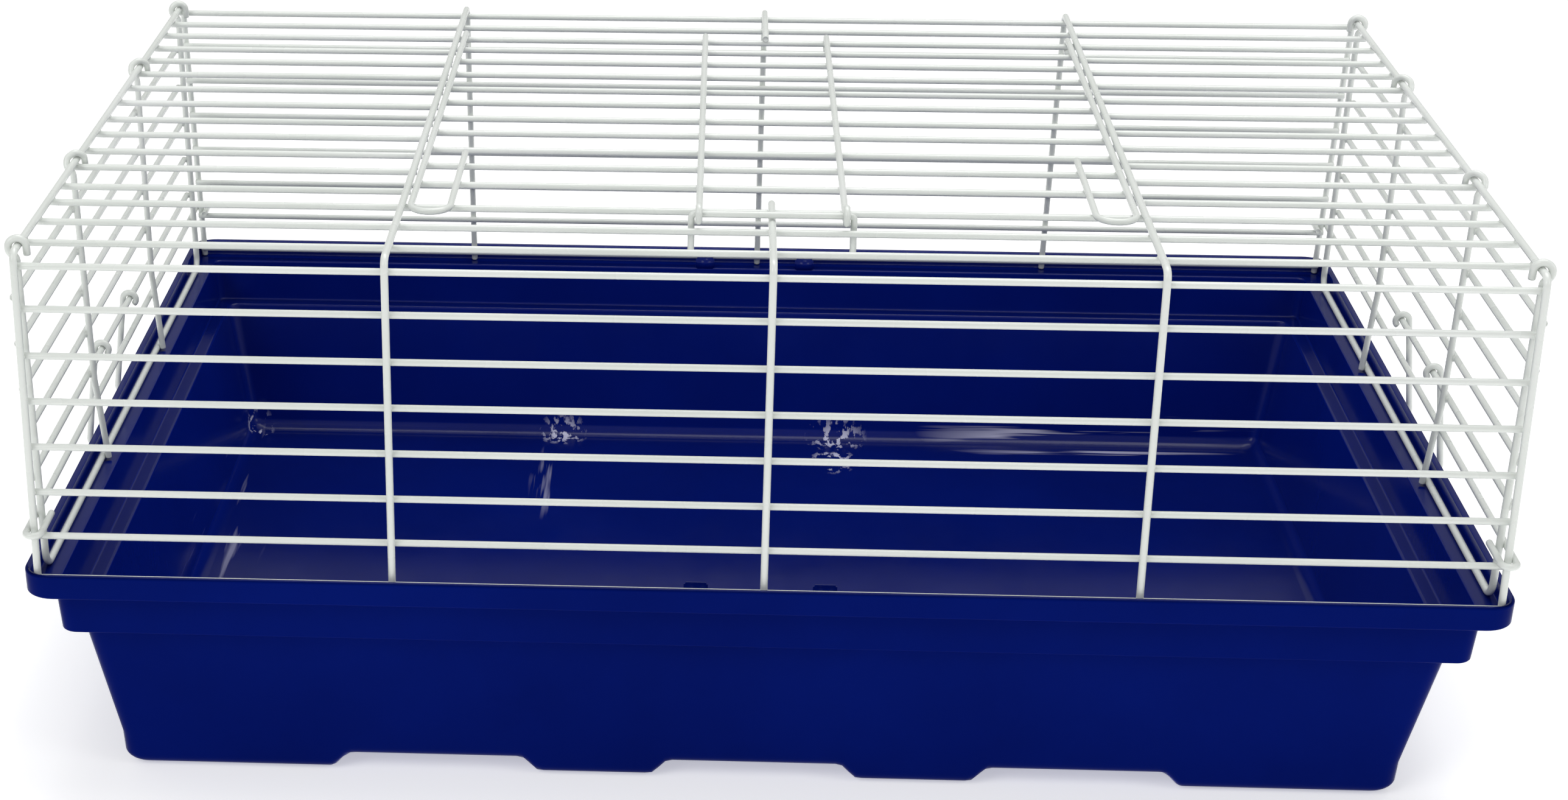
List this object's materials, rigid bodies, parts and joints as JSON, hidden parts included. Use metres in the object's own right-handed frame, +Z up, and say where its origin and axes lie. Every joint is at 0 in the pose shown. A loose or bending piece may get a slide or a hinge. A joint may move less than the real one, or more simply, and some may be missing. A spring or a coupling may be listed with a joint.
{
  "type": "hamster cage",
  "caption": "Small-pet cage: deep moulded tray, lift-off welded wire top, hinged top door with wire catch, and a swinging wire clip on each side.",
  "frame": {"origin": "centre of the footprint, on the plane of the feet", "axes": "+X to the right seen from the front, +Y to the rear, +Z up"},
  "size_m": [0.565, 0.3656, 0.2259],
  "materials": {
    "tray_plastic": "glossy moulded navy blue",
    "coated_wire": "glossy off-white coating on steel wire"
  },
  "bodies": {
    "tray": {"tray": "tray_plastic"},
    "wire_top": {"hoop_end_left": "coated_wire", "hoop_end_right": "coated_wire", "hoop_inner_left": "coated_wire", "hoop_inner_right": "coated_wire", "rod_front_centre": "coated_wire", "rod_rear_centre": "coated_wire", "wires_front": "coated_wire", "wires_rear": "coated_wire", "wires_top_rear": "coated_wire", "wires_top_front": "coated_wire", "wires_top_left": "coated_wire", "wires_top_right": "coated_wire", "side_frame_left": "coated_wire", "side_frame_right": "coated_wire", "side_uprights_left": "coated_wire", "side_uprights_right": "coated_wire", "side_wires_left": "coated_wire", "side_wires_right": "coated_wire", "side_hook_left": "coated_wire", "side_hook_right": "coated_wire"},
    "door": {"door_side_rods": "coated_wire", "door_mid_rods": "coated_wire", "door_wires": "coated_wire"},
    "catch": {"door_catch": "coated_wire"},
    "clip_left": {"clip_left": "coated_wire"},
    "clip_right": {"clip_right": "coated_wire"}
  },
  "joints": [
    {"name": "top_lift", "type": "slide", "parent": "tray", "child": "wire_top", "axis": [0, 0, 1], "range_m": [0, 0.12]},
    {"name": "door_hinge", "type": "hinge", "parent": "wire_top", "child": "door", "pos_m": [0.0013, 0.12212, 0.2161], "axis": [-1, 0, 0], "range_deg": [0, 155]},
    {"name": "catch_hinge", "type": "hinge", "parent": "door", "child": "catch", "pos_m": [0.0013, -0.1222, 0.2218], "axis": [1, 0, 0], "range_deg": [0, 75]},
    {"name": "clip_left_hinge", "type": "hinge", "parent": "wire_top", "child": "clip_left", "pos_m": [-0.2727, -0.0085, 0.1288], "axis": [0, 1, 0], "range_deg": [-4, 120]},
    {"name": "clip_right_hinge", "type": "hinge", "parent": "wire_top", "child": "clip_right", "pos_m": [0.2727, -0.0085, 0.1288], "axis": [0, -1, 0], "range_deg": [-4, 120]}
  ]
}
